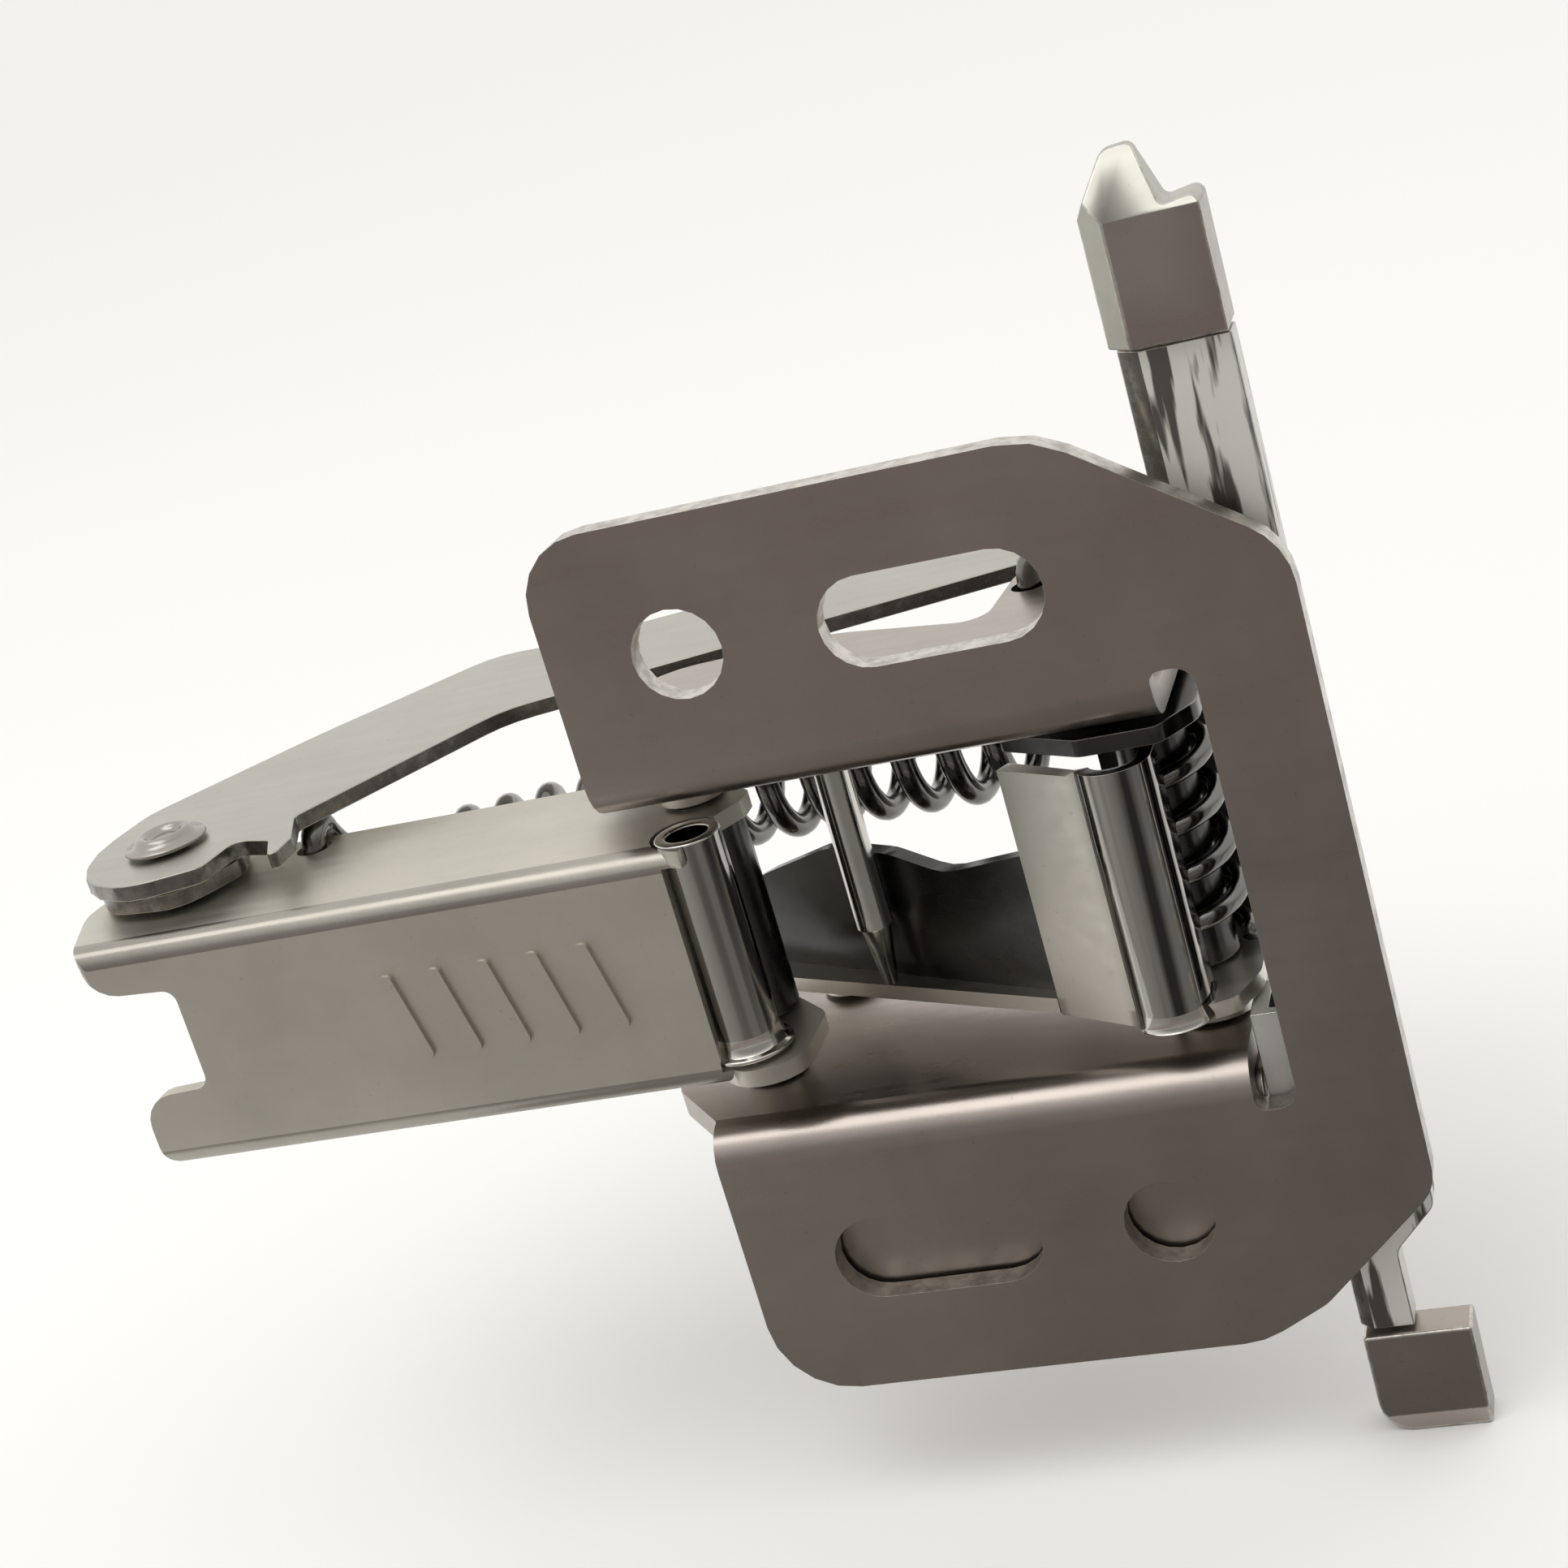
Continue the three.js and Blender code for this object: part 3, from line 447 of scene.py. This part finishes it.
def strip_stations():
    """Stations along the strip in plan, from the cheek's free end round the nose to its leg.

    Each is the outer point, the inner point, how far the foot flares (0 to 1) and the top's Z.
    """
    low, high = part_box("cam_nose")
    radius, wall, leg = 2.1 * MM, 0.8 * MM, Vector((0, 1.5 * MM))
    middle = Vector((high.x - STRIP_SPREAD - radius, low.y + STRIP_SPREAD + radius))
    join, full_turn = math.radians(204), 2 * math.pi
    free_end = Vector((low.x, high.y - 0.84 * MM))
    corner = middle + Vector((math.cos(join), math.sin(join))) * radius
    across = (corner - free_end).normalized()
    back = Vector((-across.y, across.x))
    stations = []
    cheek_steps, nose_steps, flare_steps = 8, 40, 6
    cheek_top = high.z - 0.3 * MM
    for k in range(cheek_steps):
        share = k / cheek_steps
        outer = free_end.lerp(corner, share)
        thickness = (1.0 - 0.2 * share) * MM
        stations.append((outer, outer + back * thickness, 0, cheek_top))
    for k in range(nose_steps + 1):
        angle = join + (full_turn - join) * k / nose_steps
        ray = Vector((math.cos(angle), math.sin(angle)))
        outer, inner = middle + ray * radius, middle + ray * (radius - wall)
        stations.append((outer, inner, min(1, k / flare_steps), high.z))
    stations.append((outer + leg, inner + leg, 0, high.z))
    return stations, corner.x


def bent_strip():
    """One strip of sheet: a flat cheek that runs into a U-shaped nose with a flared foot."""
    node = "cam_nose"
    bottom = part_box(node)[0].z
    foot_height = 1.1 * MM
    foot_angles = [math.radians(step) for step in range(0, 91, 10)]
    stations, cheek_end = strip_stations()
    rows = []
    for outer, inner, flare, top in stations:
        ray = (outer - inner).normalized()
        row = []
        for angle in foot_angles:
            point = outer + ray * STRIP_SPREAD * flare * (1 - math.sin(angle))
            row.append((point.x, point.y, bottom + foot_height * (1 - math.cos(angle))))
        row += [(outer.x, outer.y, top), (inner.x, inner.y, top), (inner.x, inner.y, bottom)]
        rows.append(row)
    mesh = solid_from_rows(node, rows, ring=False)
    # The cheek takes the pale material as painted light, and the foot takes bright steel as a painted
    # highlight.
    for face in mesh.polygons:
        if face.center.x < cheek_end:
            face.material_index = ZONE_FACES
        elif face.center.z < bottom + 0.8 * foot_height:
            face.material_index = FOOT_FACES
    piece = new_piece(node + "_piece", mesh, CHROME_PAINTED_BANDS, EDGE_WEAR_AND_PAINTED_LIGHT, PALE_AND_PAINTED_LIGHT, BRIGHT_STEEL_AND_PAINTED_HIGHLIGHT)
    round_edges(piece, 0.1 * MM, angle=60)
    return stand_for(piece, node)


# ---- Springs ----
def swept_wire(name, points, radius):
    """Round wire along a line of points, with flat ends."""
    sides, last = 14, len(points) - 1
    side = (points[1] - points[0]).normalized().orthogonal().normalized()
    rows = []
    for k, point in enumerate(points):
        tangent = (points[min(k + 1, last)] - points[max(k - 1, 0)]).normalized()
        side = (side - tangent * side.dot(tangent)).normalized()
        up = tangent.cross(side)
        angles = [2 * math.pi * corner / sides for corner in range(sides)]
        rows.append([point + (side * math.cos(a) + up * math.sin(a)) * radius for a in angles])
    mesh = solid_from_rows(name, rows, ring=False)
    return new_piece(name + "_piece", mesh, WIRE)


def smooth_line(corners, steps):
    """A Catmull-Rom curve through the corners."""
    line = []
    for k in range(len(corners) - 1):
        before = corners[max(k - 1, 0)]
        first, second = corners[k], corners[k + 1]
        after = corners[min(k + 2, len(corners) - 1)]
        for step in range(steps):
            t = step / steps
            line.append(0.5 * (
                2 * first
                + (second - before) * t
                + (2 * before - 5 * first + 4 * second - after) * t * t
                + (3 * first - before - 3 * second + after) * t ** 3
            ))
    return line + [corners[-1]]


PLATE_WIDTH = 39.4  # millimetres, at the front: the walls reach farther to the left
PLATE_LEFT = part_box("front_plate")[1].x / MM - PLATE_WIDTH


def on_part(x, y, z):
    """A point given in millimetres from the plate's left edge, as the CAD is dimensioned."""
    return Vector((PLATE_LEFT + x, y, z)) * MM


def tension_spring():
    """Coils between a hook in the lever's flange and a hook in the plate's upper wall."""
    radius, wire, turns, per_turn, bow = 2.65 * MM, 0.75 * MM, 13.5, 16, 0.6 * MM
    start = on_part(-18, 19.6, 1.9)
    end = on_part(19.6, 22, 2.4)
    corners = [
        on_part(-22.4, 10.8, 5.6),
        on_part(-22.4, 10.8, 7.5),
        on_part(-22.4, 11.4, 8.4),
        on_part(-22.4, 12.7, 8.4),
        on_part(-22.3, 13.5, 7),
        on_part(-20.8, 15.4, 3.2),
    ]
    for k in range(int(turns * per_turn) + 1):
        angle = 2 * math.pi * k / per_turn - math.pi / 2
        share = k / (turns * per_turn)
        middle = start.lerp(end, share) + Vector((0, 0, bow * math.sin(math.pi * share)))
        corners.append(middle + Vector((0, math.cos(angle), math.sin(angle))) * radius)
    corners += [
        on_part(20.6, 22.6, 6.6),
        on_part(20.7, 23.7, 8.6),
        on_part(20.7, 23.8, 10.6),
        on_part(21.0, 23.9, 12.4),
        on_part(22.0, 24.1, 12.8),
        on_part(22.9, 24.2, 12.3),
    ]
    piece = swept_wire("tension_spring", smooth_line(corners, 3), wire)
    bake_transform(piece)
    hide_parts("tension_spring")


def torsion_spring():
    """Open coils round the cam's pin."""
    x, y, reach, low, high = centre_line("cam_spring")
    wire, turns, per_turn = 0.55 * MM, 4.5, 48
    radius = reach - wire
    steps = int(turns * per_turn)
    line = []
    for k in range(steps + 1):
        angle = 2 * math.pi * turns * k / steps
        height = low + wire + (high - low - 2 * wire) * k / steps  # the wire's middle
        line.append(Vector((x + radius * math.cos(angle), y + radius * math.sin(angle), height)))
    stand_for(swept_wire("cam_spring", line, wire), "cam_spring")


# ---- Zones: which faces of a piece take its third material. Lengths are in millimetres ----
PLATE_BACK = 1.6  # just behind the plate's 1.5 mm sheet
WINDOW_HALF = 12  # nearer to Z = 0 than this, only the spine has cut edges
SPINE_LEFT = -3.5  # just left of the spine's inner edge
FOOT_THICKNESS = 1
TOOTH_HEIGHT = 3
BASE_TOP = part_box("cam_base")[0].z / MM + FOOT_THICKNESS
HEAD_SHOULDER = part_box("bolt_head")[1].z / MM - TOOTH_HEIGHT


def painted_light_cut_edges(at, facing):
    """The plate's cut edges: round the wings, the spine and the holes, not on the bends, pale partly
    from wear and partly as painted light.
    """
    upright = abs(facing.y) < 0.3 and at.y < PLATE_BACK
    return upright and (abs(at.z) > WINDOW_HALF or at.x > SPINE_LEFT)


def painted_light_side(at, facing):
    """The bolt head's chamfer and tooth, lighter as painted light."""
    return facing.x < -0.3 or at.z > HEAD_SHOULDER


def painted_shade_left_side(at, facing):
    """The slide bolt's narrow left side, in painted shade."""
    return facing.x < -0.3


def painted_shade_above_foot(at, facing):
    """The cam's web and upright, dark as painted shade, above the foot whose pale top is painted light.
    """
    return at.z > BASE_TOP


def painted_shade_thickness(at, facing):
    """The link's thickness, all round its outline, in painted shade."""
    return abs(facing.z) < 0.5


def painted_shade_folds(at, facing):
    """The lever's bends between its front and its flanges, darkened as painted shade."""
    return facing.y < -0.15 and abs(facing.z) > 0.15


# ---- The pieces ----
# The plate's cut edges are pale, partly wear and partly painted light.
refined("front_plate", PLATE, EDGE_WEAR_AND_PAINTED_LIGHT, 0.16 * MM, zone=painted_light_cut_edges, zone_material=EDGE_WEAR_AND_PAINTED_LIGHT)
refined("backing_plate", PLATE, EDGE_WEAR_AND_PAINTED_LIGHT, 0.16 * MM)
# The head's chamfer and tooth take the link's lighter nickel as painted light.
refined("bolt_head", PLATE, EDGE_WEAR_AND_PAINTED_LIGHT, zone=painted_light_side, zone_material=LINK)
refined("bolt_foot", PLATE, EDGE_WEAR_AND_PAINTED_LIGHT, 0.2 * MM)
# The lever's bends are darker as painted shade.
refined("lever_channel", LEVER, EDGE_WEAR_AND_PAINTED_LIGHT, zone=painted_shade_folds, zone_material=BEND_PAINTED_SHADE)
for name in ("link_arm", "link_leaf"):
    # The link's thickness is darker as painted shade.
    refined(name, LINK, LINK, 0.08 * MM, zone=painted_shade_thickness, zone_material=EDGE_PAINTED_SHADE)
for name in ("bolt_guide_upper", "bolt_guide_lower"):
    refined(name, MATT, EDGE_WEAR_AND_PAINTED_LIGHT, 0.08 * MM)
for name in (
    "cam_spacer", "lever_spacer_lower", "lever_spacer_upper", "backing_rivet_left", "backing_rivet_right"
):
    refined(name, PALE_AND_PAINTED_LIGHT, EDGE_WEAR_AND_PAINTED_LIGHT, 0.06 * MM)
# The foot is pale as painted light; the web and upright above it are dark as painted shade.
refined("cam_base", PALE_AND_PAINTED_LIGHT, EDGE_PAINTED_SHADE, 0.08 * MM, zone=painted_shade_above_foot, zone_material=PAINTED_SHADE_STEEL)
# The crank and the sleeves are dark as painted shade.
refined("cam_crank", PAINTED_SHADE_STEEL, EDGE_PAINTED_SHADE, 0.08 * MM)
for name in ("lever_sleeve", "cam_sleeve"):
    refined(name, PAINTED_SHADE_STEEL, EDGE_PAINTED_SHADE, 0.06 * MM)
# The bolt's left side is darker as painted shade.
refined("bolt_bar", ZINC, EDGE_WEAR_AND_PAINTED_LIGHT, 0.08 * MM, zone=painted_shade_left_side, zone_material=EDGE_PAINTED_SHADE)
riveted_pin("lever_pin")
riveted_pin("cam_pin")
rolled_rivet("link_rivet_front")
rolled_rivet("link_rivet_rear")
knuckle()
stud()
bent_strip()
tension_spring()
torsion_spring()


# ---- Stage ----
def stage_sheet(name, corners, z):
    """A flat sheet that belongs to the studio and not to the object."""
    mesh = bpy.data.meshes.new(name)
    mesh.from_pydata([(x, y, z) for x, y in corners], [], [tuple(range(len(corners)))])
    plane = bpy.data.objects.new(name, mesh)
    bpy.context.scene.collection.objects.link(plane)
    return plane


def pale_floor(z):
    reach = 30
    corners = [(-reach, -reach), (reach, -reach), (reach, reach), (-reach, reach)]
    floor = stage_sheet("floor", corners, z)
    g = Graph("floor_paint")
    g.shader.inputs["Base Color"].default_value = rgb(0.93, 0.93, 0.925)
    g.shader.inputs["Roughness"].default_value = 0.9
    floor.data.materials.append(g.material)


def dark_card(z):
    """A photographer's card in front of the object: the metal mirrors it, nothing else sees it.

    On the left it ends short of the object, so that the cam's cheek mirrors the pale floor.
    Near the object it fades from pale on the left to dark on the right, and farther off it
    is brown.
    """
    reach, step, right_back, left_back = 1.5, -0.06, 0.002, -0.03
    right_part = [(reach, -reach), (reach, right_back), (step, right_back)]
    left_part = [(step, left_back), (-reach, left_back), (-reach, -reach)]
    card = stage_sheet("dark_card", right_part + left_part, z)
    g = Graph("card_cloth")
    place = g.add("ShaderNodeSeparateXYZ", {"Vector": g.place})
    across, along = place.outputs["X"], place.outputs["Y"]
    near = g.mix(g.ramp(across, -0.095, -0.01), rgb(0.41, 0.396, 0.372), rgb(0.20, 0.188, 0.174))
    tone = g.mix(g.ramp(along, -0.14, -0.115), rgb(0.27, 0.222, 0.217), near)
    g.shader.inputs["Base Color"].default_value = rgb(0, 0, 0)
    g.shader.inputs["Roughness"].default_value = 1.0
    g.feed(g.shader.inputs["Emission Color"], tone)
    g.shader.inputs["Emission Strength"].default_value = 1.0
    card.data.materials.append(g.material)
    card.visible_camera = False
    card.visible_diffuse = False
    card.visible_shadow = False
    card.visible_transmission = False


def area_light(name, place, target, width, height, power):
    data = bpy.data.lights.new(name, "AREA")
    data.shape = "RECTANGLE"
    data.size = width
    data.size_y = height
    data.energy = power
    light = bpy.data.objects.new(name, data)
    light.location = place
    light.rotation_euler = (Vector(target) - Vector(place)).to_track_quat("-Z", "Y").to_euler()
    bpy.context.scene.collection.objects.link(light)


def soft_world():
    """A bright ceiling and back wall that fade to a dim room behind the camera."""
    world = bpy.data.worlds.new("studio")
    bpy.context.scene.world = world
    world.use_nodes = True
    tree = world.node_tree
    background = tree.nodes["Background"]
    direction = tree.nodes.new("ShaderNodeTexCoord").outputs["Generated"]
    lean = tree.nodes.new("ShaderNodeVectorMath")
    lean.operation = "DOT_PRODUCT"
    lean.inputs[1].default_value = (-0.35, 0.65, 0.75)  # towards the bright side
    fade = tree.nodes.new("ShaderNodeMapRange")
    fade.interpolation_type = "SMOOTHSTEP"
    for socket, value in (("From Min", -0.5), ("From Max", 0.4), ("To Min", 0.3), ("To Max", 1.06)):
        fade.inputs[socket].default_value = value
    tree.links.new(direction, lean.inputs[0])
    tree.links.new(lean.outputs["Value"], fade.inputs["Value"])
    tree.links.new(fade.outputs["Result"], background.inputs["Strength"])
    background.inputs["Color"].default_value = rgb(1.0, 0.985, 0.96)


def photo_camera():
    """To the right of the plate's normal and above it, leaning to the right."""
    data = bpy.data.cameras.new("camera")
    data.sensor_width = 36
    data.lens = 68.51
    data.clip_start = 0.005
    camera = bpy.data.objects.new("camera", data)
    azimuth, elevation, roll = (math.radians(angle) for angle in (19.275, 18.627, -16.536))
    turn = Matrix.Rotation(azimuth, 3, "Z") @ Matrix.Rotation(math.pi / 2 - elevation, 3, "X")
    camera.rotation_euler = (turn @ Matrix.Rotation(roll, 3, "Z")).to_euler()
    camera.location = (0.0236, -0.1403, 0.0603)
    bpy.context.scene.collection.objects.link(camera)
    bpy.context.scene.camera = camera


low, high = cad_bounds
centre = (low + high) / 2
pale_floor(low.z)
dark_card(low.z + MM)
area_light("softbox", place=(-0.19, -0.19, 0.53), target=centre, width=0.5, height=0.25, power=0.7)
soft_world()
photo_camera()
bpy.context.scene.view_settings.view_transform = "Standard"
